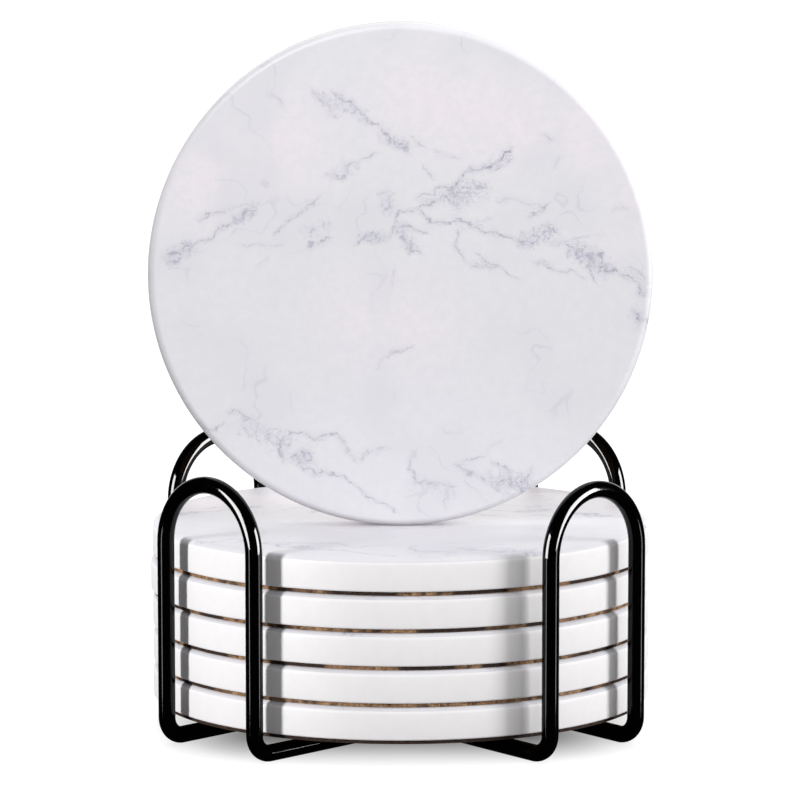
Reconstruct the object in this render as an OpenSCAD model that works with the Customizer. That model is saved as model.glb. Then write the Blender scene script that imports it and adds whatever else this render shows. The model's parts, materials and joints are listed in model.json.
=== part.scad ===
/* [Coaster] */
// Diameter of a coaster
coaster_d = 101.6; // [80:0.1:120]
// Thickness of the ceramic disc
ceramic_t = 6.6; // [4.5:0.1:10]
// Radius of the rounded edge round the printed face
face_edge_r = 1.5; // [0.5:0.1:2]
// Radius of the small edge round the underside
back_edge_r = 0.4; // [0.1:0.1:1]
// Thickness of the cork pad
cork_t = 0.74; // [0.5:0.02:2]
// How far the cork pad is set in from the rim
cork_inset = 0.5; // [0.2:0.1:3]

/* [Wire] */
// Diameter of the wire
wire_d = 3.4; // [2:0.1:5]
// Inner radius of the bends at the feet
foot_inner_r = 2.5; // [1:0.1:6]
// Length of the butt weld that closes a ring
closing_weld_l = 0.6; // [0.2:0.1:2]
// How much thinner in radius the wire is where it slopes
slope_relief = 0.02; // [0.01:0.01:0.1]
// How far the thinner stretches reach into their neighbours
slope_seat = 0.2; // [0.1:0.05:0.3]

/* [Lower ring] */
// Gap between the coasters' rim and the plane of a loop, past which they lift out
lower_loop_gap = 0.8; // [0.6:0.05:4]
// Distance between the centres of the two legs of a loop
lower_leg_spacing = 25.2; // [16:0.1:36]
// How far below the top of the stack the loops begin to curve
lower_curve_drop = 0.15; // [0:0.05:15]
// Angle of the ring's long direction to the left-right direction
lower_angle = 45.65; // [40:0.05:50]

/* [Upper ring] */
// Gap between the coasters' rim and the plane of a loop, past which they lift out
upper_loop_gap = 1.45; // [0.6:0.05:4]
// Distance between the centres of the two legs of a loop
upper_leg_spacing = 25.1; // [16:0.1:36]
// How far below the top of the stack the loops begin to curve
upper_curve_drop = 0.95; // [0:0.05:15]
// Angle of the ring's long direction to the left-right direction
upper_angle = 44.65; // [40:0.05:50]
// How far the rods rise to cross over the lower ring
crossing_rise = 1.25; // [0.8:0.05:1.7]
// Level stretch of the rods past the middle of each crossing
level_margin = 4; // [3:0.5:10]

/* [Arrangement] */
// How far the holder sits to the left of the middle of the stack
holder_shift = 0.2; // [0:0.05:0.4]
// Gap between the rods and the lowest coaster
rest_gap = 0.1; // [0:0.05:0.3]
// Gap between the top of the stack and the upright coaster's rim
upright_gap = 0.1; // [0:0.05:0.3]
// How far in front of the middle of the stack the upright coaster stands
upright_forward = 8.5; // [0:0.5:30]
// How far the coasters lie out of line with each other, to either side
scatter = 0.2; // [0:0.05:0.3]

/* [Hidden] */
// The coasters of the stack, from the lowest one up, and then the upright coaster
stack_count = 5;
coaster_count = stack_count + 1;
$fn = 96;

// How far each coaster lies to the right, as shares of the scatter
scatter_shares = [0.9, 1, 0.8, -1, 0.8, 0.5];

// Sizes that follow from the ones above
coaster_r = coaster_d / 2;
coaster_t = ceramic_t + cork_t;
wire_r = wire_d / 2;
foot_r = foot_inner_r + wire_r;
stack_bottom = wire_d + crossing_rise + rest_gap;
stack_top = stack_bottom + stack_count * coaster_t;
crossing_angle = lower_angle + upper_angle;

// Distance from the middle to the plane of a loop's wire, which clears the coasters by gap
function loop_reach(gap) = coaster_r + gap + wire_r;

// Half length of a rod's level middle, which runs past the other ring's rods
function level_half(other_spacing) = other_spacing / 2 / sin(crossing_angle) + level_margin;

// Each ring as its reach, leg spacing, height where it curves, rise and level half length
lower = [
    loop_reach(lower_loop_gap),
    lower_leg_spacing,
    stack_top - lower_curve_drop,
    0,
    level_half(upper_leg_spacing)
];
upper = [
    loop_reach(upper_loop_gap),
    upper_leg_spacing,
    stack_top - upper_curve_drop,
    crossing_rise,
    level_half(lower_leg_spacing)
];
function reach(ring) = ring[0];
function spacing(ring) = ring[1];
function curve_z(ring) = ring[2];
function rise(ring) = ring[3];
function level(ring) = ring[4];

// Length and angle of the sloping stretch from a foot up to the level middle
function run(ring) = reach(ring) - foot_r - level(ring);
function slope_length(ring) =
    sqrt(pow(run(ring), 2) + pow(rise(ring), 2) - 2 * foot_r * rise(ring));
function slope_angle(ring) =
    atan2(rise(ring) - foot_r, run(ring)) + atan2(foot_r, slope_length(ring));

// Wire bent from straight up towards +X, with what follows it as its children
module bend(angle, radius) {
    translate([radius, 0, 0]) rotate([90, 0, 180])
        rotate_extrude(angle = angle) translate([radius, 0]) circle(r = wire_r);
    translate([radius, 0, 0]) rotate([0, angle, 0]) translate([-radius, 0, 0]) children();
}

// A foot: the bend under a leg and the stretch that slopes up to the level middle
module foot(ring) {
    rotate([0, 180, 0]) bend(90 + slope_angle(ring), foot_r)
        translate([0, 0, -slope_seat])
            cylinder(h = slope_length(ring) + 2 * slope_seat, r = wire_r - slope_relief);
}

// A corner of the holder: an arch on two legs, each with its foot
module corner_loop(ring) {
    leg = curve_z(ring) - wire_r - foot_r;
    translate([reach(ring), 0, curve_z(ring)]) {
        rotate([90, 0, 90]) rotate_extrude(angle = 180)
            translate([spacing(ring) / 2, 0]) circle(r = wire_r);
        for (side = [-1, 1])
            translate([0, side * spacing(ring) / 2, -leg]) {
                cylinder(h = leg, r = wire_r);
                foot(ring);
            }
    }
}

// The level middle of a ring's two rods, with a gap in one for the butt weld
module rods(ring, weld_gap) {
    for (side = [-1, 1], end = [-1, 1]) {
        start = side < 0 ? weld_gap / 2 : 0;
        translate([0, side * spacing(ring) / 2, wire_r + rise(ring)]) rotate([0, end * 90, 0])
            translate([0, 0, start]) cylinder(h = level(ring) - start, r = wire_r);
    }
}

// One ring of wire, open only where its butt weld goes
module wire_ring(ring) {
    rods(ring, closing_weld_l);
    for (turn = [0, 180])
        rotate([0, 0, turn]) corner_loop(ring);
}

module on_lower_side() {
    translate([-holder_shift, 0, 0]) rotate([0, 0, lower_angle]) children();
}

module on_upper_side() {
    translate([-holder_shift, 0, 0]) rotate([0, 0, -upper_angle]) children();
}

// Wire ring from the front left loop to the back right one, flat on the table
module wire_ring_lower() {
    color("#101012") difference() {
        on_lower_side() wire_ring(lower);
        on_upper_side() rods(upper, 0);
    }
}

// Wire ring from the front right loop to the back left one, raised in the middle
module wire_ring_upper() {
    color("#101012") difference() {
        on_upper_side() wire_ring(upper);
        on_lower_side() rods(lower, 0);
    }
}

// Metal that both rings share where they are pressed and welded together
module crossing_welds() {
    color("#18181a") intersection() {
        on_lower_side() rods(lower, 0);
        on_upper_side() rods(upper, 0);
    }
}

// One flush butt weld in the middle of a rod
module closing_weld(ring) {
    translate([-closing_weld_l / 2, -spacing(ring) / 2, wire_r + rise(ring)])
        rotate([0, 90, 0]) cylinder(h = closing_weld_l, r = wire_r);
}

module closing_welds() {
    color("#18181a") {
        on_lower_side() closing_weld(lower);
        on_upper_side() closing_weld(upper);
    }
}

// Half section of the ceramic disc, round at both edges
module ceramic_section() {
    square([coaster_r - face_edge_r, ceramic_t]);
    translate([0, back_edge_r])
        square([coaster_r, ceramic_t - face_edge_r - back_edge_r]);
    square([coaster_r - back_edge_r, ceramic_t / 2]);
    translate([coaster_r - face_edge_r, ceramic_t - face_edge_r]) circle(r = face_edge_r);
    translate([coaster_r - back_edge_r, back_edge_r]) circle(r = back_edge_r);
}

// Places a coaster, standing on its cork: stacked, or upright on the stack
module placed(i) {
    side = scatter * scatter_shares[i - 1];
    if (i <= stack_count)
        translate([side, 0, stack_bottom + (i - 1) * coaster_t]) children();
    else
        translate([side, coaster_t / 2 - upright_forward, stack_top + upright_gap + coaster_r])
            rotate([90, 0, 0]) children();
}

// Fired ceramic disc with the printed face on top
module ceramic_disc(i) {
    color("#ebe9ec") placed(i)
        translate([0, 0, cork_t]) rotate_extrude() ceramic_section();
}

// Pressed cork pad glued under the ceramic
module cork_pad(i) {
    color("#8a5f3c") placed(i)
        cylinder(h = cork_t, r = coaster_r - cork_inset);
}

wire_ring_lower();
wire_ring_upper();
crossing_welds();
closing_welds();
for (i = [1:coaster_count]) {
    ceramic_disc(i);
    cork_pad(i);
}
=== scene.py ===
# %% [markdown]
# # A set of marble coasters in a wire holder
# Six round coasters are dressed here: fired ceramic discs with a marble print on one face and a
# thin pad of pressed cork glued to the other. Five lie in a holder made of two bent wire rings,
# and the sixth stands upright on the stack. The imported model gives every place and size, so the
# first step loads it, and each new piece is then built where its solid already is.

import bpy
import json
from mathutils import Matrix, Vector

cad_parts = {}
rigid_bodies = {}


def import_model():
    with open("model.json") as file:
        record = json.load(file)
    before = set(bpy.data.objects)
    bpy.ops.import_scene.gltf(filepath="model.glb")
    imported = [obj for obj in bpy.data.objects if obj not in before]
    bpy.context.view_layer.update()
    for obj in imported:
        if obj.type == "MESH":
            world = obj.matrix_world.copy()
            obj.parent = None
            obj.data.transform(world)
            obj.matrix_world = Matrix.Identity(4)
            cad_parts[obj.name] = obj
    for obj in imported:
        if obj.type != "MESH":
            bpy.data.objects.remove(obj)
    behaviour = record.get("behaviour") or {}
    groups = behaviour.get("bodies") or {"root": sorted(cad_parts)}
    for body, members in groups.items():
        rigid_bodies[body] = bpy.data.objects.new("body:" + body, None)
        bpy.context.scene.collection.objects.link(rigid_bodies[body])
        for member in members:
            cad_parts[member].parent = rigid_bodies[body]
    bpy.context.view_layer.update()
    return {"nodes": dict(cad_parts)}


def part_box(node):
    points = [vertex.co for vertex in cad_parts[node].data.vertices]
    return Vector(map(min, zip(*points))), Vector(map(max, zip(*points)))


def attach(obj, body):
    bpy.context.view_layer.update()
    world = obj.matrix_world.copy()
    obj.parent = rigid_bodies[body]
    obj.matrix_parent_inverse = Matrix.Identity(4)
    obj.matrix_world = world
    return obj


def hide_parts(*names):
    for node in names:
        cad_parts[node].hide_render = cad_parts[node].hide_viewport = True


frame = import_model()
print("nodes:", sorted(frame["nodes"]))

# %% Imports and units
import json
import math
import bmesh
import bpy
import numpy as np
from mathutils import Matrix, Vector, noise as mesh_noise

MM = 0.001
scene = bpy.context.scene


def in_mm(lengths):
    return [round(length / MM, 2) for length in lengths]


# %% [markdown]
# ## The camera
# The picture was taken from the front with a long lens, a little above the top of the stack, so
# upright lines stay upright and circles on the table become flat ellipses. The camera's height and
# distance decide how round those ellipses are, and the lens then decides how large all of it is.

# %% Set up the camera
CAMERA_PLACE = Vector((0, -903.6, 188.1)) * MM
CAMERA_AIM = Vector((0, 0.3, 65.6)) * MM
LENS_MM = 201.0
SENSOR_MM = 36.0


def aim(item, target):
    """Turns an object so that its -Z axis points at target."""
    item.rotation_euler = (target - item.location).to_track_quat("-Z", "Y").to_euler()


bpy.ops.object.camera_add(location=CAMERA_PLACE)
camera = bpy.context.object
camera.name = "camera"
aim(camera, CAMERA_AIM)
camera.data.lens = LENS_MM
camera.data.sensor_width = SENSOR_MM
camera.data.clip_end = 20
scene.camera = camera
print("camera distance:", round((CAMERA_AIM - CAMERA_PLACE).length, 4), "m")

# %% [markdown]
# ## Measuring the frame
# A coaster's cork pad and ceramic disc give its middle, its radius and the thickness of both
# layers. A stacked coaster's own frame starts in the middle of its underside, with +Z towards the
# print. The upright coaster's frame is the same one, turned a quarter about X.

# %% Measure the coasters
COUNT = 6
UPRIGHT = 6
QUARTER = math.pi / 2
# How far the print of each stacked coaster is turned, in degrees
PATTERN_TURNS = {1: 205, 2: 74, 3: 318, 4: 141, 5: 0}


def size_of(node):
    low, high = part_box(node)
    return high - low


disc_size = size_of("ceramic_disc_1")
pad_size = size_of("cork_pad_1")
disc_r, ceramic_t = disc_size.x / 2, disc_size.z
pad_r, cork_t = pad_size.x / 2, pad_size.z
coaster_t = ceramic_t + cork_t


def coaster_frame(number):
    """Place and turn of a coaster's own frame. The stacked ones lie turned to all sides."""
    low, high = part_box(f"cork_pad_{number}")
    middle = (low + high) / 2
    if number == UPRIGHT:
        return Vector((middle.x, high.y, middle.z)), (QUARTER, 0, 0)
    return Vector((middle.x, middle.y, low.z)), (0, 0, math.radians(PATTERN_TURNS[number]))


print("disc radius, ceramic and cork in mm:", in_mm((disc_r, ceramic_t, cork_t)))

# %% [markdown]
# ## Small helpers
# Operators act on whatever is selected, so every step begins with nothing selected. Inside edit
# mode the next selection is made in code, by the place of each vertex or edge. A finished piece
# gets smooth shading, its materials and the body that it rides on, and the nodes it replaces are
# hidden.

# %% Selecting and finishing
SMOOTH_BELOW = math.radians(40)


def select_only(*pieces):
    if bpy.context.mode != "OBJECT":
        bpy.ops.object.mode_set(mode="OBJECT")
    bpy.ops.object.select_all(action="DESELECT")
    for piece in pieces:
        piece.select_set(True)
    if pieces:
        bpy.context.view_layer.objects.active = pieces[0]


def edit(piece, mode="VERT"):
    select_only(piece)
    bpy.ops.object.mode_set(mode="EDIT")
    bpy.ops.mesh.select_mode(type=mode)


def pick(kind, test):
    """In edit mode, selects only the vertices, edges or faces for which test is true."""
    bpy.ops.mesh.select_all(action="DESELECT")
    mesh = bpy.context.edit_object.data
    shape = bmesh.from_edit_mesh(mesh)
    for item in getattr(shape, kind):
        if test(item):
            item.select = True
    shape.select_flush_mode()
    bmesh.update_edit_mesh(mesh)


def end_edit():
    """Turns every face outwards and leaves edit mode."""
    bpy.ops.mesh.select_all(action="SELECT")
    bpy.ops.mesh.normals_make_consistent(inside=False)
    bpy.ops.object.mode_set(mode="OBJECT")


def done(piece, body, *nodes, slot, materials):
    """Shades a piece, gives it its materials, puts it on its body and hides the nodes it replaces.
    """
    select_only(piece)
    bpy.ops.object.shade_smooth_by_angle(angle=SMOOTH_BELOW)
    for material in materials:
        piece.data.materials.append(material)
    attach(piece, body)
    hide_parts(*nodes)


def copy_to(template, name, place, turn):
    """A copy with its own mesh, whose place goes into the mesh."""
    piece = bpy.data.objects.new(name, template.data.copy())
    scene.collection.objects.link(piece)
    piece.location = place
    piece.rotation_euler = turn
    select_only(piece)
    bpy.ops.object.transform_apply(location=True, rotation=True, scale=True)
    return piece


print("helpers ready")

# %% [markdown]
# ## Building materials from nodes
# A material is a small program. These helpers add one node each and return its output, so that a
# recipe reads from top to bottom. An effect that several materials share goes into a node group.

# %% Node helpers
def add_node(tree, kind, inputs, **settings):
    """A node whose inputs are given as name or number: value, or another node's output."""
    node = tree.nodes.new("ShaderNode" + kind)
    for name, value in settings.items():
        setattr(node, name, value)
    for name, value in inputs.items():
        if isinstance(value, bpy.types.NodeSocket):
            tree.links.new(value, node.inputs[name])
        else:
            node.inputs[name].default_value = value
    return node


def calc(tree, operation, *values, clamp=False):
    inputs = dict(enumerate(values))
    return add_node(tree, "Math", inputs, operation=operation, use_clamp=clamp).outputs[0]


def vector_calc(tree, operation, *values):
    node = add_node(tree, "VectorMath", dict(enumerate(values)), operation=operation)
    return node.outputs["Value" if operation in ("LENGTH", "DOT_PRODUCT") else "Vector"]


def noise(tree, place, scale, detail=3.0, roughness=0.5, output="Fac"):
    inputs = {"Vector": place, "Scale": scale, "Detail": detail, "Roughness": roughness}
    return add_node(tree, "TexNoise", inputs).outputs[output]


def spread(tree, value, low, high, to_low=0.0, to_high=1.0, smooth=True):
    """Maps low to high onto to_low to to_high, and holds the ends."""
    inputs = {"Value": value, "From Min": low, "From Max": high,
              "To Min": to_low, "To Max": to_high}
    kind = "SMOOTHSTEP" if smooth else "LINEAR"
    return add_node(tree, "MapRange", inputs, interpolation_type=kind).outputs[0]


def blend_colours(tree, share, first, second):
    """Goes from the first colour to the second as share goes from 0 to 1."""
    inputs = {0: share, 6: first, 7: second}
    return add_node(tree, "Mix", inputs, data_type="RGBA").outputs[2]


def new_group(name, inputs, outputs):
    """A node group whose sockets are given as name: kind."""
    tree = bpy.data.node_groups.new(name, "ShaderNodeTree")
    for socket, kind in inputs.items():
        tree.interface.new_socket(socket, in_out="INPUT", socket_type="NodeSocket" + kind)
    for socket, kind in outputs.items():
        tree.interface.new_socket(socket, in_out="OUTPUT", socket_type="NodeSocket" + kind)
    return tree, tree.nodes.new("NodeGroupInput").outputs, tree.nodes.new("NodeGroupOutput").inputs


def use_group(tree, group, inputs):
    return add_node(tree, "Group", inputs, node_tree=group).outputs


def new_material(name, **settings):
    """A material and its Principled shader, with constant values set on the shader itself."""
    material = bpy.data.materials.new(name)
    material.use_nodes = True
    shader = material.node_tree.nodes["Principled BSDF"]
    for socket, value in settings.items():
        shader.inputs[socket.replace("_", " ")].default_value = value
    return material, material.node_tree, shader


def own_place(tree, place=(0, 0, 0), turn=(0, 0, 0)):
    """Object coordinates in millimetres, seen from a piece's own frame."""
    coordinates = tree.nodes.new("ShaderNodeTexCoord").outputs["Object"]
    inputs = {"Vector": coordinates, "Location": place, "Rotation": turn, "Scale": (MM, MM, MM)}
    return add_node(tree, "Mapping", inputs, vector_type="TEXTURE").outputs[0]


print("node helpers ready")

# %% [markdown]
# ## Marble veins
# The print shows thin grey veins that gather in a few bands, with small cracked patches along them.
# Noise alone would scatter veins anywhere, so each vein follows a listed route. So many
# routes are slow in a shader, so they are measured once at the points of the face. Each point
# stores how far it lies to the left or right of the nearest vein. That changes evenly from point to
# point, so the shader finds the line where it is zero, and draws it finer than the mesh.

# %% Routes of the veins
# Strength, width and points, in millimetres from the middle of the face, to the right and up
VEINS = [
    (0.75, 0.9, [(-47, 4.5), (-44, 5), (-40, 7.5), (-38, 7.5), (-36, 10), (-32, 11.5),
                 (-29.5, 13.5)]),
    (0.7, 0.8, [(-41, 12), (-38.5, 13), (-34.5, 13.5)]),
    (0.3, 0.8, [(-34.5, 13.5), (-28, 15)]),
    (0.6, 0.8, [(-17, 16), (-19.5, 13.5), (-22.5, 11), (-25, 8.5)]),
    (0.35, 0.8, [(-24, 6.5), (-25.5, 6), (-27.5, 6.5), (-32.5, 6)]),
    (0.25, 0.8, [(-27, 3.5), (-29, 2)]),
    (0.75, 0.9, [(-18, 6.5), (-14.5, 7.5)]),
    (0.75, 0.8, [(-13.5, 20.5), (-11, 20.5), (-10, 22), (-10.5, 23)]),
    (0.55, 0.8, [(-10.5, 23), (-9, 23), (-5, 24.5)]),
    (0.7, 1.1, [(-13, 36.5), (-10, 34.5), (-8.5, 33), (-7.5, 31.5), (-3, 29.5)]),
    (0.8, 1.1, [(-3, 29.5), (-1, 26.5), (1, 25)]),
    (0.45, 1.3, [(-18, 37), (-14, 34), (-13, 32.5)]),
    (0.6, 0.8, [(2.5, 27.5), (4.5, 26)]),
    (0.35, 0.8, [(7.5, 25), (10.5, 24)]),
    (0.5, 0.7, [(5, 22), (6.5, 19.5)]),
    (1.0, 0.9, [(22.5, 25.5), (19, 23), (17.5, 22), (15, 21.5), (13, 21), (12.5, 19.5),
                (10.5, 17)]),
    (0.85, 0.8, [(22, 23.5), (20.5, 22.5), (17.5, 21.5)]),
    (0.7, 0.8, [(13.5, 22), (12, 19.5), (11, 18)]),
    (0.7, 0.8, [(10.5, 17), (8.5, 17.5), (7, 16.5), (4, 16)]),
    (0.8, 0.8, [(9, 15.5), (6, 14.5), (4, 14.5), (3, 13.5), (0, 13)]),
    (0.75, 0.8, [(9, 15.5), (10.5, 15), (11.5, 14)]),
    (0.8, 0.8, [(11, 16.5), (12.5, 15.5), (14, 15)]),
    (0.8, 0.8, [(4, 13.5), (6, 11.5), (8, 11.5), (12, 12), (14, 10.5), (19, 8.5), (22.5, 8),
                (26, 6.5)]),
    (0.5, 0.7, [(14, 10.5), (16, 11.5), (17.5, 12)]),
    (0.4, 0.7, [(19, 15), (23, 15.5), (28, 14.5)]),
    (0.95, 1.0, [(28, 13.5), (29, 14)]),
    (0.8, 0.9, [(26, 12.5), (27, 12.5)]),
    (0.75, 0.9, [(30.5, 6.5), (33.5, 7.5)]),
    (0.4, 0.7, [(33.5, 7.5), (40, 8)]),
    (0.9, 0.9, [(33, 6.5), (35.5, 5.5), (38, 4), (40.5, 2.5), (44, 0.5), (45, -0.5), (46.5, -1)]),
    (0.7, 0.8, [(46.5, -1), (49, -3.5)]),
    (0.85, 0.9, [(38.5, 4.5), (41, 4.5), (42, 2.5)]),
    (0.55, 0.9, [(46.5, 1), (49.5, -1)]),
    (0.75, 0.8, [(38.5, 2), (39, 0)]),
    (0.8, 0.8, [(11, 9.5), (11, 7.5), (10.5, 6), (12.5, 4), (13.5, 2.5)]),
    (0.5, 0.8, [(13.5, 2.5), (16, 2), (18.5, 1.5)]),
    (0.6, 0.7, [(15.5, 4.5), (18, 2.5), (24, -0.5)]),
    (0.7, 0.8, [(27, 3), (30, 2)]),
    (0.5, 0.7, [(30, 2), (31.5, 1), (34, 1), (36.5, 0)]),
    (0.7, 0.9, [(0, 13), (-0.5, 10), (-2, 8)]),
    (0.75, 0.8, [(-9, 6.5), (-7.5, 7.5), (-5.5, 9), (-4, 8), (-5, 7)]),
    (0.75, 0.8, [(0, 10), (2, 10), (5, 9)]),
    (0.8, 0.9, [(1.5, 6.5), (3, 5), (4, 4.5)]),
    (0.5, 0.8, [(-1.5, 1), (-2, -1)]),
    (0.55, 0.8, [(1.5, -14.5), (-1, -15.5)]),
    (0.3, 0.8, [(-1, -15.5), (-4.5, -18.5)]),
    (0.9, 0.9, [(47, -6.5), (48, -8), (49, -9)]),
    (0.7, 0.8, [(-40, -30), (-39, -31), (-37, -31), (-35.5, -30)]),
    (0.65, 0.9, [(-34, -27.5), (-32, -27.5), (-30.5, -29)]),
    (0.8, 0.9, [(-23, -32), (-20, -32.5), (-18, -33.5), (-16, -33), (-13, -32)]),
    (0.75, 0.9, [(-23, -32), (-24.5, -34), (-25, -35), (-24, -37)]),
    (0.45, 1.3, [(-13, -32), (-11, -33.5), (-10, -36), (-8, -36.5), (-5.5, -35.5), (-3, -35)]),
    (0.85, 0.9, [(-22, -36.5), (-20, -36), (-18, -36), (-18, -37), (-20.5, -37.5)]),
    (0.7, 0.8, [(-20, -38), (-18.5, -39), (-14, -40.5), (-11, -41.5), (-6, -45), (-1.5, -47.5)]),
    (0.6, 0.7, [(3, -35.5), (1.5, -38), (1.5, -39.5), (4, -41.5), (9, -42.5), (10.5, -42.5)]),
    (0.35, 0.9, [(9, -42.5), (9, -46.5)]),
    (0.5, 0.8, [(11, -38.5), (13, -37.5), (16.5, -37)]),
    (0.3, 1.0, [(16.5, -37), (17.5, -35.5), (19.5, -33.5)]),
    (0.65, 0.8, [(11, -38.5), (14, -40), (16.5, -41), (20, -43.5)]),
    (0.75, 0.8, [(19, -38.5), (22, -39.5)]),
    (0.7, 0.9, [(25.5, -39), (25, -42.5)]),
    (0.8, 0.8, [(19.5, -42.5), (22, -42), (24.5, -43.5)]),
    (0.35, 0.8, [(31, 21.5), (32, 23.5)]),
    (0.6, 0.8, [(28.5, 28.5), (29.5, 27.5)]),
    (0.35, 0.8, [(42.5, 13), (43, 14), (45.5, 14)]),
    (0.35, 0.9, [(-26.5, 37), (-24.5, 36.5), (-23.5, 35)]),
]
# Patches where the veins crack into a fine network, given the same way
PATCHES = [
    (0.9, 3.2, [(-45.5, 4), (-42.5, 5.5)]),
    (0.8, 2.2, [(-32.5, 11.5), (-30, 13)]),
    (0.6, 2.8, [(-19, 9), (-15, 10)]),
    (0.5, 2.2, [(-14.5, 20.5), (-9, 22.5)]),
    (0.6, 3.0, [(-16, 36), (-8, 32)]),
    (0.8, 2.6, [(-2.5, 28), (1, 25.5)]),
    (0.5, 2.2, [(21, 24), (14, 21)]),
    (0.9, 3.4, [(11, 16), (16, 17.5)]),
    (1.0, 3.2, [(24.5, 7.5), (30, 9)]),
    (0.9, 3.4, [(35, 5), (42, 2)]),
    (0.9, 2.4, [(48, -3), (49, -3.5)]),
    (0.8, 2.4, [(-3, 16.5), (-2.5, 13.5)]),
    (0.7, 2.6, [(-8, 7.5), (-4, 8)]),
    (1.0, 2.8, [(1, 9), (2, 6)]),
    (0.7, 4.0, [(-30, -31), (-24, -34.5)]),
    (0.7, 2.6, [(-21, -36.5), (-18, -37)]),
    (0.4, 3.4, [(3, -42), (10, -44)]),
    (0.8, 4.4, [(20.5, -42), (24.5, -42)]),
    (0.6, 3.0, [(47.5, -7.5), (49, -9)]),
]
print(len(VEINS), "veins and", len(PATCHES), "patches")

# %% Measure the veins from a set of points
VEIN_REACH = 1.8


def measure_stroke(points, start, end):
    """Distance of each point from a stroke, and whether it lies to its left (1) or right (-1)."""
    along = np.subtract(end, start)
    from_start = points - start
    share = np.clip(from_start @ along / (along @ along), 0, 1)
    away = np.linalg.norm(from_start - share[:, None] * along, axis=1)
    return away, np.where(along[0] * from_start[:, 1] > along[1] * from_start[:, 0], 1, -1)


def measure_veins(points):
    """At each point, the way across the nearest vein in half widths, and the vein's weight."""
    nearest = np.full(len(points), np.inf)
    across = np.zeros(len(points))
    weight = np.zeros(len(points))
    for strength, width, route in VEINS:
        for start, end in zip(route, route[1:]):
            away, side = measure_stroke(points, start, end)
            closer = away < nearest
            nearest[closer] = away[closer]
            across[closer] = (side * away)[closer] / width
            weight[closer] = strength * np.clip(1 - away[closer] / VEIN_REACH, 0, 1)
    return across, weight


def measure_areas(points, areas):
    """The strongest of some soft areas at each point, each given as a thick stroke."""
    mask = np.zeros(len(points))
    for strength, width, (start, end) in areas:
        away, _ = measure_stroke(points, start, end)
        mask = np.maximum(mask, strength * (1 - away / width))
    return mask


def noise_at(points, scale, layer):
    return np.array([mesh_noise.noise(Vector((x * scale, y * scale, layer))) for x, y in points])


def wander_points(points, layers):
    """Moves points to and fro by noise, each layer given as its scale and reach."""
    shifts = [(noise_at(points, scale, 2 * n) * reach, noise_at(points, scale, 2 * n + 1) * reach)
              for n, (scale, reach) in enumerate(layers)]
    return points + np.sum(shifts, axis=0).T


print("vein measures ready")

# %% [markdown]
# ## The marble print
# The print is off-white, with large warm and cool areas that hardly differ, and the veins over
# them. Noise pushes each stored line to and fro, thins and breaks it, and gives it a fainter
# companion, as in real marble. Inside the patches the level lines of a noise give fine cracks.

# %% The marble print, as a node group
WARM_AREAS = [
    (1.0, 17, [(-38, 20), (-24, 27)]),
    (1.0, 15, [(3, 36), (24, 31)]),
    (0.9, 10, [(36, 31), (37, 25)]),
    (0.8, 9, [(46, 14), (46, 10)]),
    (0.7, 14, [(-8, -8), (4, -10)]),
]
STORED = ("Across", "Weight", "Patches", "Warmth", "Cloud")
PRINT_WHITE = (0.765, 0.755, 0.79, 1)
PRINT_WARM = (0.83, 0.775, 0.82, 1)
PRINT_GREY = (0.70, 0.70, 0.74, 1)
PATCH_GREY = (0.60, 0.59, 0.69, 1)
VEIN_GREY = (0.31, 0.305, 0.40, 1)
# How far noise pushes a line, its offset to one side, its half width and its strength
MAIN_LINE = (3.2, 0, 0.42, 1.0)
COMPANION = (-4.0, 0.45, 0.26, 0.6)
HALO = (1.6, 0, 1.7, 0.2)
# How fine a network of level lines is, and how wide its lines are
CRACKS = (0.45, 0.05)
FINE_CRACKS = (1.0, 0.07)
STRAY_VEINS = (0.07, 0.012)
FINE_CRACK_SHARE = 0.4
NETWORK_SHARE = 0.6
PATCH_TINT = 0.34


def wander(tree, place, scale, reach):
    """Moves a place by noise, to every side, by about a third of reach."""
    colour = noise(tree, place, scale, detail=2.0, roughness=0.55, output="Color")
    shift = vector_calc(tree, "SUBTRACT", colour, (0.5, 0.5, 0.5))
    return vector_calc(tree, "ADD", place, vector_calc(tree, "MULTIPLY", shift, (reach, reach, 0)))


def level_lines(tree, place, scale, width):
    """Thin lines where a noise passes through its middle value."""
    height = calc(tree, "SUBTRACT", noise(tree, place, scale, detail=2.0), 0.5)
    away = calc(tree, "ABSOLUTE", height)
    return spread(tree, away, 0.0, width, 1.0, 0.0)


def vein_line(tree, across, push, amount, offset, width, strength):
    """A line along the stored vein, pushed sideways, from strength at its middle to 0."""
    moved = calc(tree, "MULTIPLY_ADD", push, amount, across)
    away = calc(tree, "ABSOLUTE", calc(tree, "ADD", moved, offset) if offset else moved)
    return spread(tree, away, 0.0, width, strength, 0.0)


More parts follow.
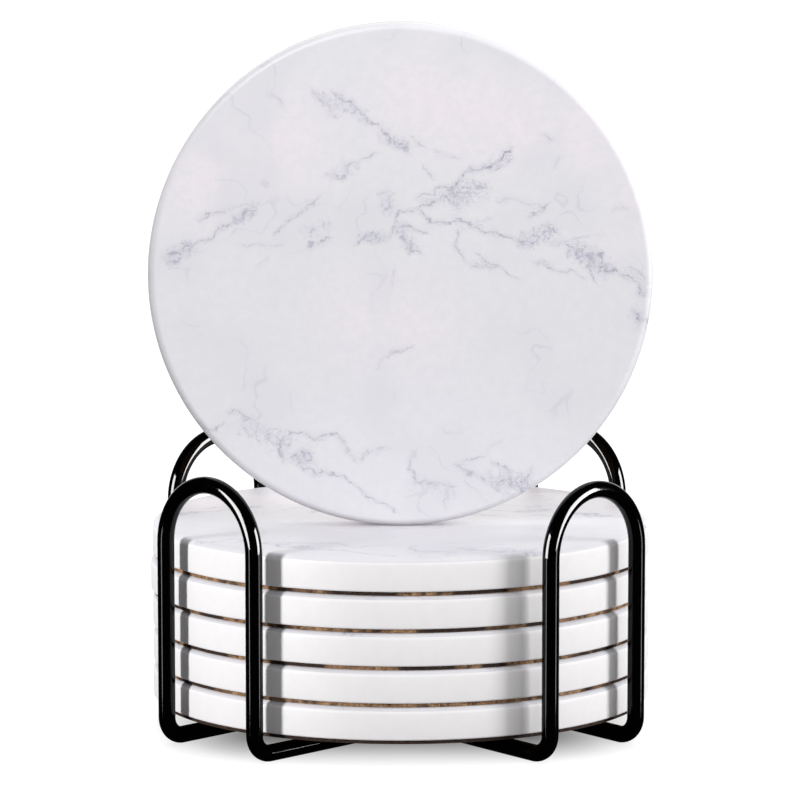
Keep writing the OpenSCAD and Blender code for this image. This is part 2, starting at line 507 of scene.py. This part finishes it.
def make_marble_print():
    inputs = {"Place": "Vector", **{name: "Float" for name in STORED}}
    tree, given, result = new_group("marble print", inputs, {"Colour": "Color"})
    flat = vector_calc(tree, "MULTIPLY", given["Place"], (1, 1, 0))
    push = calc(tree, "SUBTRACT", noise(tree, flat, 0.8, detail=5.0, roughness=0.66), 0.5)
    broken = noise(tree, flat, 0.55, detail=4.0, roughness=0.65)
    main = vein_line(tree, given["Across"], push, *MAIN_LINE)
    main = calc(tree, "MULTIPLY", main, spread(tree, broken, 0.36, 0.58, 0.12, 1.0))
    companion = vein_line(tree, given["Across"], push, *COMPANION)
    companion = calc(tree, "MULTIPLY", companion, spread(tree, broken, 0.44, 0.56, 1.0, 0.0))
    halo = vein_line(tree, given["Across"], push, *HALO)
    line = calc(tree, "MULTIPLY", given["Weight"],
                calc(tree, "MAXIMUM", halo, calc(tree, "MAXIMUM", main, companion)))
    bent = wander(tree, flat, 0.8, 1.3)
    fine_cracks = calc(tree, "MULTIPLY", level_lines(tree, bent, *FINE_CRACKS), FINE_CRACK_SHARE)
    cracks = calc(tree, "MAXIMUM", level_lines(tree, bent, *CRACKS), fine_cracks)
    patch = spread(tree, calc(tree, "MULTIPLY_ADD", push, 1.6, given["Patches"]), 0.15, 0.9)
    network = calc(tree, "MULTIPLY", calc(tree, "MULTIPLY", cracks, patch), NETWORK_SHARE)
    stray = calc(tree, "MULTIPLY", level_lines(tree, bent, *STRAY_VEINS),
                 spread(tree, given["Cloud"], 0.1, 0.5, 0.0, 0.16))
    vein = calc(tree, "MAXIMUM", line, calc(tree, "MAXIMUM", network, stray), clamp=True)
    colour = blend_colours(tree, given["Warmth"], PRINT_WHITE, PRINT_WARM)
    cloud = spread(tree, given["Cloud"], -0.1, 0.6, 0.0, 0.6)
    colour = blend_colours(tree, cloud, colour, PRINT_GREY)
    mottle = noise(tree, flat, 0.45, detail=5.0, roughness=0.8)
    mottle = spread(tree, mottle, 0.35, 0.65, 0.0, 0.45)
    colour = blend_colours(tree, mottle, colour, PRINT_GREY)
    colour = blend_colours(tree, calc(tree, "MULTIPLY", patch, PATCH_TINT), colour, PATCH_GREY)
    colour = blend_colours(tree, vein, colour, VEIN_GREY)
    tree.links.new(colour, result["Colour"])
    return tree


MARBLE_PRINT = make_marble_print()
print("marble print group:", len(MARBLE_PRINT.nodes), "nodes")

# %% [markdown]
# ## Fine grain
# No fired or coated surface is perfectly smooth. One shared group gives a height made of soft
# dimples and a finer grain, and each material chooses how large and how deep they are.

# %% The grain, as a node group
GRAIN_SHARE = 0.35


def make_grain():
    inputs = {"Place": "Vector", "Dimples": "Float", "Grains": "Float"}
    tree, given, result = new_group("fine grain", inputs, {"Height": "Float", "Mottle": "Float"})
    dimples = noise(tree, given["Place"], given["Dimples"], detail=2.0)
    grains = noise(tree, given["Place"], given["Grains"], roughness=0.6)
    height = calc(tree, "MULTIPLY_ADD", grains, GRAIN_SHARE, dimples)
    tree.links.new(height, result["Height"])
    tree.links.new(spread(tree, dimples, 0.35, 0.65), result["Mottle"])
    return tree


GRAIN = make_grain()


def bump(tree, shader, height, depth_mm, strength):
    inputs = {"Height": height, "Distance": depth_mm * MM, "Strength": strength}
    normal = add_node(tree, "Bump", inputs).outputs[0]
    tree.links.new(normal, shader.inputs["Normal"])


print("grain group ready")

# %% [markdown]
# ## Ceramic
# The print covers the face and turns a little way down the rounded edge, where it ends in a clean
# line. Below it the disc is bare white, with a faint warm mottling. So a disc has two finishes, and
# each face of its mesh takes one of them. The print's finish looks from its coaster's own frame.

# %% The ceramic materials
BARE_WHITE = (0.90, 0.885, 0.895, 1)
BARE_SHADE = (0.885, 0.865, 0.875, 1)


def printed_material(number):
    material, tree, shader = new_material(f"marble_print_{number}", IOR=1.5, Roughness=0.42)
    own = own_place(tree, *coaster_frame(number))
    stored = {name: add_node(tree, "Attribute", {}, attribute_name=name).outputs["Fac"]
              for name in STORED}
    marble = use_group(tree, MARBLE_PRINT, {"Place": own, **stored})
    tree.links.new(marble["Colour"], shader.inputs["Base Color"])
    grain = use_group(tree, GRAIN, {"Place": own, "Dimples": 0.55, "Grains": 3.5})
    bump(tree, shader, grain["Height"], 0.02, 0.4)
    return material


def bare_material():
    material, tree, shader = new_material("bare_ceramic", IOR=1.5)
    grain = use_group(tree, GRAIN, {"Place": own_place(tree), "Dimples": 0.4, "Grains": 3.5})
    colour = blend_colours(tree, grain["Mottle"], BARE_WHITE, BARE_SHADE)
    tree.links.new(colour, shader.inputs["Base Color"])
    tree.links.new(spread(tree, grain["Mottle"], 0, 1, 0.5, 0.56), shader.inputs["Roughness"])
    bump(tree, shader, grain["Height"], 0.02, 0.4)
    return material


PRINTED = {number: printed_material(number) for number in range(1, COUNT + 1)}
BARE = bare_material()
print("ceramic materials:", len(PRINTED) + 1)

# %% [markdown]
# ## Pressed cork
# Pressed cork is made of granules about a millimetre across, each in its own brown, with dark bark
# specks between them. Voronoi cells give the granules and their colours, and the distance to a
# cell's edge sinks the joints, so the back of a coaster looks and catches light like cork. The cut
# edge is darker, partly from its own tone and partly from painted shade of the recess under the
# ceramic's overhang, with stretches that are nearly black, so the shader also asks how far a point
# is from the middle. The lowest pad's edge gets the deepest painted shade.

# %% The cork materials
CORK_LIGHT = (0.60, 0.36, 0.18, 1)
CORK_MID = (0.42, 0.23, 0.11, 1)
CORK_DARK = (0.10, 0.045, 0.02, 1)
# Nearly black: the cut edge's own darker tone together with painted shade of the recess under the
# ceramic
CORK_CUT_AND_SHADE = (0.02, 0.006, 0.003, 1)
# How far the cut edge's darker tone and painted shade reach inwards, in millimetres
CUT_SHADE_REACH = 0.5
# How deep the painted shade on the lowest pad's edge is at least, since that pad lies in shade by
# the floor
LOWEST_PAD_SHADE = 0.97


def make_cork():
    outputs = {"Colour": "Color", "Height": "Float"}
    tree, given, result = new_group("pressed cork", {"Place": "Vector", "Edge shade": "Float"}, outputs)
    bent = wander(tree, given["Place"], 1.1, 0.9)
    inputs = {"Vector": bent, "Scale": 0.85, "Randomness": 1.0}
    cells = add_node(tree, "TexVoronoi", inputs, feature="F1")
    joints = add_node(tree, "TexVoronoi", inputs, feature="DISTANCE_TO_EDGE").outputs["Distance"]
    tone = add_node(tree, "SeparateXYZ", {0: cells.outputs["Color"]}).outputs
    fine = noise(tree, given["Place"], 2.2, detail=4.0, roughness=0.65)
    colour = blend_colours(tree, spread(tree, tone[0], 0.1, 0.9), CORK_MID, CORK_LIGHT)
    colour = blend_colours(tree, spread(tree, fine, 0.4, 0.7, 0.0, 0.5), colour, CORK_MID)
    bark = spread(tree, tone[1], 0.86, 0.9, 0.0, 0.85)
    specks = spread(tree, fine, 0.62, 0.68, 0.0, 0.9)
    colour = blend_colours(tree, calc(tree, "MAXIMUM", bark, specks), colour, CORK_DARK)
    colour = blend_colours(tree, spread(tree, joints, 0.0, 0.09, 0.55, 0.0), colour, CORK_DARK)
    # The cut edge is darkened towards that colour, partly its own tone and partly painted shade of
    # the recess
    outward = vector_calc(tree, "LENGTH", vector_calc(tree, "MULTIPLY", given["Place"], (1, 1, 0)))
    edge = spread(tree, outward, pad_r / MM - CUT_SHADE_REACH, pad_r / MM - CUT_SHADE_REACH / 2)
    # Noise makes the painted shade on the edge deeper in some stretches than in others
    cut_shade_strength = noise(tree, given["Place"], 0.11, detail=2.5, roughness=0.6)
    cut_shade_strength = spread(tree, cut_shade_strength, 0.42, 0.56, 0.3, 0.97)
    edge = calc(tree, "MULTIPLY", edge, calc(tree, "MAXIMUM", cut_shade_strength, given["Edge shade"]))
    colour = blend_colours(tree, edge, colour, CORK_CUT_AND_SHADE)
    height = calc(tree, "ADD", spread(tree, joints, 0.0, 0.2), calc(tree, "MULTIPLY", fine, 0.8))
    tree.links.new(colour, result["Colour"])
    tree.links.new(height, result["Height"])
    return tree


CORK = make_cork()


def cork_material(number):
    material, tree, shader = new_material(f"cork_{number}", Roughness=0.85)
    own = own_place(tree, *coaster_frame(number))
    # The lowest pad's edge gets the deepest painted shade, as it lies next to the floor
    cork = use_group(tree, CORK, {"Place": own, "Edge shade": LOWEST_PAD_SHADE if number == 1 else 0.0})
    tree.links.new(cork["Colour"], shader.inputs["Base Color"])
    bump(tree, shader, cork["Height"], 0.12, 0.9)
    return material


CORK_PAD = {number: cork_material(number) for number in range(1, COUNT + 1)}
print("cork materials:", len(CORK_PAD))

# %% [markdown]
# ## Gloss black wire
# The wire is steel with a smooth black coating. It is almost black, and what one sees of it are
# thin lights along the wire, so it needs a low roughness and a hardly visible waviness.

# %% The wire material
WIRE_BLACK = (0.0012, 0.0012, 0.0013, 1)


def wire_material():
    material, tree, shader = new_material("black_wire", Specular_IOR_Level=0.2,
                                          Base_Color=WIRE_BLACK)
    grain = use_group(tree, GRAIN, {"Place": own_place(tree), "Dimples": 0.35, "Grains": 1.6})
    tree.links.new(spread(tree, grain["Mottle"], 0, 1, 0.05, 0.08), shader.inputs["Roughness"])
    bump(tree, shader, grain["Height"], 0.02, 0.5)
    return material


WIRE = wire_material()
print("wire material ready")

# %% [markdown]
# ## The ceramic disc
# The print needs many evenly spread points to hold its veins, and rings of points would crowd in
# the middle. So the face starts as a square grid, which is eased into a circle: each row and column
# becomes part of an ellipse, and the grid's border lands on the circle. The border is then drawn
# out over the rounded edge, down the rim and round the small lower edge, and closed underneath.

# %% Model the ceramic disc
FACE_EDGE_R = 1.5 * MM
BACK_EDGE_R = 0.4 * MM
FACE_CELLS = 216
FACE_EDGE_STEPS = 10
BACK_EDGE_STEPS = 4
INSET = 0.25 * MM
# How far below the face the print ends on the rounded edge
PRINT_DEPTH = 0.85 * MM
# Two noises that bend the routes: how fine each is, and how far it reaches in millimetres
WANDERS = ((0.14, 1.2), (0.5, 0.7))


def grid_to_disc(mesh, radius):
    """Eases a square grid from -1 to 1 into a disc."""
    for vertex in mesh.vertices:
        x, y = vertex.co.xy
        vertex.co.x = x * math.sqrt(1 - y * y / 2) * radius
        vertex.co.y = y * math.sqrt(1 - x * x / 2) * radius


def draw_out(radii_and_heights):
    """In edit mode, extrudes the selected circle to each radius and height in turn."""
    (old_r, old_z), *steps = radii_and_heights
    for new_r, new_z in steps:
        bpy.ops.mesh.extrude_region_move(TRANSFORM_OT_translate={"value": (0, 0, new_z - old_z)})
        grow = new_r / old_r
        bpy.ops.transform.resize(value=(grow, grow, 1), center_override=(0, 0, 0))
        old_r, old_z = new_r, new_z


def arc(middle_r, middle_z, radius, start, end, steps):
    """Radii and heights along a round edge, from one angle above level to another, in degrees."""
    angles = [math.radians(start + (end - start) * step / steps) for step in range(steps + 1)]
    return [(middle_r + radius * math.cos(a), middle_z + radius * math.sin(a)) for a in angles]


def store_print(mesh):
    """Stores the measures that the print reads at each point of the mesh."""
    places = np.array([vertex.co.xy for vertex in mesh.vertices]) / MM
    moved = wander_points(places, WANDERS)
    across, weight = measure_veins(moved)
    patches = measure_areas(moved, PATCHES)
    warmth = np.clip(measure_areas(moved, WARM_AREAS), 0, 1)
    cloud = noise_at(places, 0.05, 7) + 0.5 * noise_at(places, 0.13, 8)
    for name, values in zip(STORED, (across, weight, patches, warmth, cloud)):
        mesh.attributes.new(name, "FLOAT", "POINT").data.foreach_set("value", values)


def model_ceramic():
    select_only()
    bpy.ops.mesh.primitive_grid_add(x_subdivisions=FACE_CELLS, y_subdivisions=FACE_CELLS, size=2)
    piece = bpy.context.object
    piece.name = "ceramic_template"
    flat_r = disc_r - FACE_EDGE_R
    grid_to_disc(piece.data, flat_r)
    piece.location.z = coaster_t
    bpy.ops.object.transform_apply(location=True)
    edit(piece, "EDGE")
    pick("edges", lambda edge: edge.is_boundary)
    draw_out(arc(flat_r, coaster_t - FACE_EDGE_R, FACE_EDGE_R, 90, 0, FACE_EDGE_STEPS)
             + arc(disc_r - BACK_EDGE_R, cork_t + BACK_EDGE_R, BACK_EDGE_R, 0, -90, BACK_EDGE_STEPS)
             + [(disc_r - BACK_EDGE_R - INSET, cork_t)])
    bpy.ops.mesh.edge_face_add()
    end_edit()
    for face in piece.data.polygons:
        face.material_index = 0 if face.center.z > coaster_t - PRINT_DEPTH else 1
    store_print(piece.data)
    return piece


ceramic_template = model_ceramic()
print("ceramic disc:", len(ceramic_template.data.polygons), "faces, size in mm",
      in_mm(ceramic_template.dimensions))

# %% [markdown]
# ## The cork pad
# A pad is a thin disc whose rim was cut from pressed granules, so it isn't clean. The rim gets two
# more loops of points, and those are pushed in and out a little along their normals with a fixed
# seed. That gives the same rim each time only if the points always come in the same order, which
# they do in a cylinder, but not after an extrusion. The pad's upper and lower faces stay flat,
# because they are glued and lain on.

# %% Model the cork pad
PAD_STEPS = 360
RIM_ROUGHNESS = 0.16 * MM
RIM_SEED = 5


def model_cork():
    select_only()
    bpy.ops.mesh.primitive_cylinder_add(vertices=PAD_STEPS, radius=pad_r - RIM_ROUGHNESS,
                                        depth=cork_t, location=(0, 0, cork_t / 2))
    piece = bpy.context.object
    piece.name = "cork_template"
    bpy.ops.object.transform_apply(location=True)
    edit(piece, "EDGE")
    pick("edges", lambda edge: abs(edge.verts[0].co.z - edge.verts[1].co.z) > cork_t / 2)
    bpy.ops.mesh.subdivide(number_cuts=2)
    edit(piece, "VERT")
    pick("verts", lambda vert: cork_t / 9 < vert.co.z < cork_t * 8 / 9)
    bpy.ops.transform.vertex_random(offset=RIM_ROUGHNESS, uniform=0, normal=1, seed=RIM_SEED)
    end_edit()
    return piece


cork_template = model_cork()
print("cork pad:", len(cork_template.data.polygons), "faces, size in mm",
      in_mm(cork_template.dimensions))

# %% [markdown]
# ## Six coasters
# Both layers are modelled once and copied to each coaster's frame. Every copy has its own mesh and
# rides on its own body, so any coaster can be lifted by itself.

# %% Place the coasters
for number in range(1, COUNT + 1):
    place, turn = coaster_frame(number)
    ceramic = copy_to(ceramic_template, f"ceramic_{number}", place, turn)
    done(ceramic, f"coaster_{number}", f"ceramic_disc_{number}", slot="marble_ceramic",
         materials=(PRINTED[number], BARE))
    cork = copy_to(cork_template, f"cork_{number}", place, turn)
    done(cork, f"coaster_{number}", f"cork_pad_{number}", slot="cork",
         materials=(CORK_PAD[number],))
for template in (ceramic_template, cork_template):
    bpy.data.objects.remove(template)
print("coasters placed:", COUNT)

# %% [markdown]
# ## Bending a wire
# Each ring is one long wire, so it is made as a wire bender makes it: a round section travels along
# the path, straight ahead by extruding and round each bend by spinning. The pen below knows where
# it is and where it heads, and works out the centre and axis of each bend from the next heading.

# %% The wire bender
WIRE_R = 1.7 * MM
FOOT_R = 2.5 * MM + WIRE_R
KINK_R = 15 * MM
SECTION_STEPS = 40
DEGREES_PER_STEP = 4


class Bender:
    """Moves the selected end of a wire along its path."""

    def __init__(self, place, heading):
        self.place = Vector(place)
        self.heading = Vector(heading).normalized()

    def ahead(self, length):
        step = self.heading * length
        bpy.ops.mesh.extrude_region_move(TRANSFORM_OT_translate={"value": step})
        self.place += step

    def turn(self, heading, radius):
        heading = Vector(heading).normalized()
        inward = (heading - self.heading * heading.dot(self.heading)).normalized()
        centre = self.place + inward * radius
        axis = self.heading.cross(heading).normalized()
        angle = self.heading.angle(heading)
        steps = max(2, round(math.degrees(angle) / DEGREES_PER_STEP))
        bpy.ops.mesh.spin(steps=steps, angle=-angle, center=centre, axis=axis)
        self.place = centre + Matrix.Rotation(angle, 3, axis) @ (self.place - centre)
        self.heading = heading


def selected_middle():
    shape = bmesh.from_edit_mesh(bpy.context.edit_object.data)
    places = [vert.co for vert in shape.verts if vert.select]
    return sum(places, Vector()) / len(places)


print("wire bender ready")

# %% [markdown]
# ## The two rings
# Both rings have the same plan: along a rod, through a foot, up a leg, over the arch, down the
# other leg and back along the second rod, twice. The upper ring's rods rise to cross over the lower
# ring's, so its path slopes before and after each foot. The lower ring's slope is zero.

# %% Bend the rings
WELD_L = 0.6 * MM
LEVEL_MARGIN = 4 * MM
MERGE_WITHIN = 0.001 * MM
HOLDER_SHIFT = Vector((-0.2, 0, 0)) * MM
LOWER_ANGLE = math.radians(45.65)
UPPER_ANGLE = math.radians(-44.65)
stack_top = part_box("ceramic_disc_5")[1].z
# Each ring's gap to the coasters' rim, distance between its legs, drop of its arches below the
# top of the stack, and rise of its rods in the middle
LOWER = dict(gap=0.8 * MM, spacing=25.2 * MM, drop=0.15 * MM, rise=0)
UPPER = dict(gap=1.45 * MM, spacing=25.1 * MM, drop=0.95 * MM, rise=1.25 * MM)


def start_wire(name, place):
    """The open round section of a wire that heads to +X, selected in edit mode."""
    select_only()
    bpy.ops.mesh.primitive_circle_add(vertices=SECTION_STEPS, radius=WIRE_R, location=place,
                                      rotation=(0, QUARTER, 0))
    piece = bpy.context.object
    piece.name = name
    bpy.ops.object.transform_apply(location=True, rotation=True)
    edit(piece, "EDGE")
    bpy.ops.mesh.select_all(action="SELECT")
    return piece


def end_wire():
    """Merges the points that a bend leaves twice, and caps both ends."""
    bpy.ops.mesh.select_all(action="SELECT")
    bpy.ops.mesh.remove_doubles(threshold=MERGE_WITHIN)
    bpy.ops.mesh.select_all(action="DESELECT")
    bpy.ops.mesh.select_non_manifold()
    bpy.ops.mesh.fill()
    end_edit()


def bend_ring(name, ring, other):
    """A ring whose rods run along X. A slope leaves its foot's bend straight and ends in a kink."""
    reach = disc_r + ring["gap"] + WIRE_R
    half = ring["spacing"] / 2
    level = other["spacing"] / 2 / math.sin(LOWER_ANGLE - UPPER_ANGLE) + LEVEL_MARGIN
    run = reach - FOOT_R - level
    rise = ring["rise"]
    slope_l = math.sqrt(run ** 2 + rise ** 2 - 2 * FOOT_R * rise)
    slope = math.atan2(rise - FOOT_R, run) + math.atan2(FOOT_R, slope_l)
    kink = KINK_R * math.tan(slope / 2)
    leg = stack_top - ring["drop"] - WIRE_R - FOOT_R
    start = (WELD_L / 2, -half, WIRE_R + rise)
    piece = start_wire(name, start)
    bender = Bender(start, (1, 0, 0))
    for side in (1, -1):
        bender.ahead(level - kink - (WELD_L / 2 if side == 1 else 0))
        if slope > 0:
            bender.turn((side * math.cos(slope), 0, -math.sin(slope)), KINK_R)
        bender.ahead(slope_l - kink)
        bender.turn((0, 0, 1), FOOT_R)
        bender.ahead(leg)
        bender.turn((0, side, 0), half)
        bender.turn((0, 0, -1), half)
        bender.ahead(leg)
        bender.turn((-side * math.cos(slope), 0, math.sin(slope)), FOOT_R)
        bender.ahead(slope_l - kink)
        if slope > 0:
            bender.turn((-side, 0, 0), KINK_R)
        bender.ahead(level - kink - (WELD_L / 2 if side == -1 else 0))
    print(name, "ends", round((selected_middle() - bender.place).length / MM, 4),
          "mm from its pen, at", in_mm(bender.place))
    end_wire()
    return piece


def place_in_holder(piece, angle):
    piece.rotation_euler = (0, 0, angle)
    piece.location = HOLDER_SHIFT
    select_only(piece)
    bpy.ops.object.transform_apply(location=True, rotation=True)


lower_ring = bend_ring("wire_lower", LOWER, UPPER)
place_in_holder(lower_ring, LOWER_ANGLE)
upper_ring = bend_ring("wire_upper", UPPER, LOWER)
place_in_holder(upper_ring, UPPER_ANGLE)
for ring, node in ((lower_ring, "wire_ring_lower"), (upper_ring, "wire_ring_upper")):
    low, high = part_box(node)
    places = np.array([vertex.co for vertex in ring.data.vertices])
    print(node, "is past its solid's box by, in mm:", in_mm(low - Vector(places.min(axis=0))),
          in_mm(Vector(places.max(axis=0)) - high))
    done(ring, "holder", node, slot="black_wire", materials=(WIRE,))

# %% [markdown]
# ## Welds
# Where the rods cross they are pressed together and welded, which leaves a low, uneven bead round
# each crossing. Each ring's wire is closed by a butt weld, ground nearly flush: a short band with
# a shallow groove at each side. Both are coated with the rings.

# %% Model the welds
BEAD_R = 2.75 * MM
BEAD_HALF_H = 1.25 * MM
BEAD_UNEVEN = 0.12 * MM
GROOVE = 0.1 * MM


def crossing_places():
    """The four points where the middles of the rods cross, seen from above."""
    normal_a = Vector((-math.sin(LOWER_ANGLE), math.cos(LOWER_ANGLE)))
    normal_b = Vector((-math.sin(UPPER_ANGLE), math.cos(UPPER_ANGLE)))
    solve = Matrix((normal_a, normal_b)).inverted()
    sides = [(a, b) for a in (-1, 1) for b in (-1, 1)]
    return [solve @ Vector((a * LOWER["spacing"] / 2, b * UPPER["spacing"] / 2)) for a, b in sides]


def model_bead(number, place):
    height = WIRE_R + UPPER["rise"] / 2
    select_only()
    bpy.ops.mesh.primitive_uv_sphere_add(segments=32, ring_count=16, radius=BEAD_R,
                                         location=(place.x, place.y, height),
                                         scale=(1, 1, BEAD_HALF_H / BEAD_R))
    bead = bpy.context.object
    bpy.ops.object.transform_apply(location=True, rotation=True, scale=True)
    edit(bead)
    bpy.ops.mesh.select_all(action="SELECT")
    bpy.ops.transform.vertex_random(offset=BEAD_UNEVEN, uniform=0, normal=1, seed=number)
    bpy.ops.mesh.vertices_smooth(factor=0.5, repeat=3)
    bpy.ops.object.mode_set(mode="OBJECT")
    return bead


beads = [model_bead(number, place) for number, place in enumerate(crossing_places())]
select_only(*beads)
bpy.ops.object.join()
crossing = bpy.context.object
crossing.name = "crossing_beads"
crossing.location = HOLDER_SHIFT
select_only(crossing)
bpy.ops.object.transform_apply(location=True)
done(crossing, "holder", "crossing_welds", slot="black_wire", materials=(WIRE,))


def model_band(name, ring, angle):
    select_only()
    place = (0, -ring["spacing"] / 2, WIRE_R + ring["rise"])
    bpy.ops.mesh.primitive_cylinder_add(vertices=SECTION_STEPS, radius=WIRE_R, depth=WELD_L,
                                        location=place, rotation=(0, QUARTER, 0))
    band = bpy.context.object
    band.name = name
    bpy.ops.object.transform_apply(location=True, rotation=True)
    edit(band, "EDGE")
    pick("edges", lambda edge: abs(edge.verts[0].co.x - edge.verts[1].co.x) < WELD_L / 9)
    bpy.ops.mesh.bevel(offset=GROOVE, segments=3, affect="EDGES")
    bpy.ops.object.mode_set(mode="OBJECT")
    place_in_holder(band, angle)
    return band


bands = [model_band("closing_bands", LOWER, LOWER_ANGLE),
         model_band("closing_band_upper", UPPER, UPPER_ANGLE)]
select_only(*bands)
bpy.ops.object.join()
done(bands[0], "holder", "closing_welds", slot="black_wire", materials=(WIRE,))
print("closing bands joined")

# %% [markdown]
# ## Light and floor
# The picture is a studio shot on white. One set of lights can't give both the even white of the
# ceramic and the deep black of the wires, so each light is linked to the pieces that it shines on.
# A narrow one at the left draws the legs' shadows on the rims, and others light the rims from the
# right, the stack from above and behind, and the upright face from the front. The wires have tall
# strips of their own, of which only the reflection shows, as thin lines on the black coating.
#
# The world adds soft light from above, from behind and from the front right. Its reflection is
# left nearly black, apart from the white wall behind, which the lying faces catch at a flat angle.
# The floor looks white from the camera, and the soft shade under the set is drawn on it by place.

# %% The surrounding light
# Strength, direction, and the cosines to that direction where the light starts and is full
SOFT_LIGHTS = [
    (0.55, (0, 0, 1), 0.7, 0.95),
    (1.0, (0, 0.75, 0.65), 0.5, 0.85),
    (0.92, (0.7, -0.7, 0.25), 0.65, 0.9),
]
# The white wall behind, as it shows in reflections: its direction and the same two cosines
WALL_BEHIND = ((0, 1, 0.12), 0.8, 0.95)
# How bright the rest of the surroundings is in reflections
SKY_IN_GLOSS = 0.01


def set_world():
    world = bpy.data.worlds.new("studio")
    scene.world = world
    world.use_nodes = True
    tree = world.node_tree
    tree.nodes.clear()
    direction = tree.nodes.new("ShaderNodeTexCoord").outputs["Generated"]
    path = tree.nodes.new("ShaderNodeLightPath").outputs

    def glow(towards, start, full, least, most):
        cosine = vector_calc(tree, "DOT_PRODUCT", direction, Vector(towards).normalized())
        return spread(tree, cosine, start, full, least, most)

    soft = 0.0
    for power, *where in SOFT_LIGHTS:
        soft = calc(tree, "ADD", soft, glow(*where, 0, power))
    not_gloss = calc(tree, "SUBTRACT", 1.0, path["Is Glossy Ray"])
    soft = calc(tree, "MULTIPLY", soft, not_gloss)
    in_gloss = calc(tree, "MULTIPLY", glow(*WALL_BEHIND, SKY_IN_GLOSS, 1), path["Is Glossy Ray"])
    strength = calc(tree, "MAXIMUM", calc(tree, "MAXIMUM", soft, in_gloss), path["Is Camera Ray"])
    background = add_node(tree, "Background", {"Color": (1, 1, 1, 1), "Strength": strength})
    output = tree.nodes.new("ShaderNodeOutputWorld")
    tree.links.new(background.outputs[0], output.inputs[0])


set_world()
scene.view_settings.view_transform = "Standard"
scene.view_settings.look = "None"
print("world ready")

# %% The lights
# In metres; the streaks reach below the floor, so that their reflections run down to the feet
PANEL_AWAY = 0.7
PANEL_TOP = 0.4
STREAK_FOOT = -0.02
DIM_FOOT = -0.14


def pieces_of(numbers):
    """The ceramic and cork pieces of some coasters."""
    return [bpy.data.objects[f"{layer}_{n}"] for layer in ("ceramic", "cork") for n in numbers]


WIRES = [lower_ring, upper_ring, crossing, bands[0]]
STACK = pieces_of(range(1, UPRIGHT))
UPRIGHT_PIECES = pieces_of([UPRIGHT])


def panel_light(name, place, target, size, watts, lit):
    """A flat light, size given across and up, that shines on some pieces only."""
    bpy.ops.object.light_add(type="AREA", location=place)
    light = bpy.context.object
    light.name = name
    light.data.shape = "RECTANGLE"
    light.data.size, light.data.size_y = size
    light.data.energy = watts
    aim(light, Vector(target))
    pieces = bpy.data.collections.new(f"lit_by_{name}")
    for piece in lit:
        pieces.objects.link(piece)
    light.light_linking.receiver_collection = pieces
    return light


def standing_light(name, azimuth, low, high, width, watts, lit):
    """An upright panel that faces the object, azimuth degrees right of straight in front."""
    angle = math.radians(azimuth)
    middle = (low + high) / 2
    place = (PANEL_AWAY * math.sin(angle), -PANEL_AWAY * math.cos(angle), middle)
    return panel_light(name, place, (0, 0, middle), (width, high - low), watts, lit)


standing_light("key_left", azimuth=-53, low=0.0, high=PANEL_TOP, width=0.08, watts=4.7,
               lit=STACK)
standing_light("key_right", azimuth=77, low=0.0, high=PANEL_TOP, width=0.16, watts=3.8,
               lit=STACK + UPRIGHT_PIECES)
panel_light("key_upright", place=(-0.35, -0.75, 0.6), target=(0, 0, 0.09), size=(0.3, 0.3),
            watts=6.6, lit=UPRIGHT_PIECES)
key_top = panel_light("key_top", place=(0, 0.6, 0.85), target=(0, 0, 0), size=(1.2, 0.8),
                      watts=5.0, lit=STACK)
# The upright coaster doesn't shade the stack from this light, and gets none of it back
key_top.light_linking.blocker_collection = key_top.light_linking.receiver_collection
key_top.data.cycles.max_bounces = 0
key_top.visible_glossy = False
for side, azimuth in (("left", -60), ("right", 72)):
    tall = standing_light(f"streak_{side}", azimuth, low=STREAK_FOOT, high=PANEL_TOP,
                          width=0.42, watts=28, lit=WIRES)
    dim = standing_light(f"dim_streak_{side}", azimuth, low=DIM_FOOT, high=STREAK_FOOT,
                         width=0.1, watts=0.5, lit=WIRES)
    tall.visible_diffuse = dim.visible_diffuse = False
print("lights ready")

# %% The floor
FLOOR_SIZE = 14.0
# How white the floor is to the camera, and to light that bounces off it
FLOOR_SEEN = 0.35
FLOOR_BOUNCE = 0.45
# How deep the shade under the set is, and where it starts to fade and ends, in metres
SHADE = 0.85
SHADE_ACROSS = (0.025, 0.057)
SHADE_AHEAD = (0.018, 0.054)


def make_floor():
    select_only()
    bpy.ops.mesh.primitive_plane_add(size=FLOOR_SIZE, location=(0, 0, 0))
    floor = bpy.context.object
    floor.name = "floor"
    material, tree, shader = new_material("floor", Roughness=0.9, Specular_IOR_Level=0,
                                          Emission_Strength=1.0)
    seen = tree.nodes.new("ShaderNodeLightPath").outputs["Is Camera Ray"]
    white = spread(tree, seen, 0, 1, FLOOR_BOUNCE, FLOOR_SEEN, smooth=False)
    tree.links.new(white, shader.inputs["Base Color"])
    coordinates = tree.nodes.new("ShaderNodeTexCoord").outputs["Object"]
    place = add_node(tree, "SeparateXYZ", {0: coordinates}).outputs
    across = spread(tree, calc(tree, "ABSOLUTE", place[0]), *SHADE_ACROSS, SHADE, 0)
    ahead = spread(tree, calc(tree, "ABSOLUTE", place[1]), *SHADE_AHEAD, 1, 0)
    glow = calc(tree, "SUBTRACT", 1.0, calc(tree, "MULTIPLY", across, ahead))
    tree.links.new(calc(tree, "MULTIPLY", glow, seen), shader.inputs["Emission Color"])
    floor.data.materials.append(material)
    floor.visible_glossy = False


make_floor()
print("floor ready")
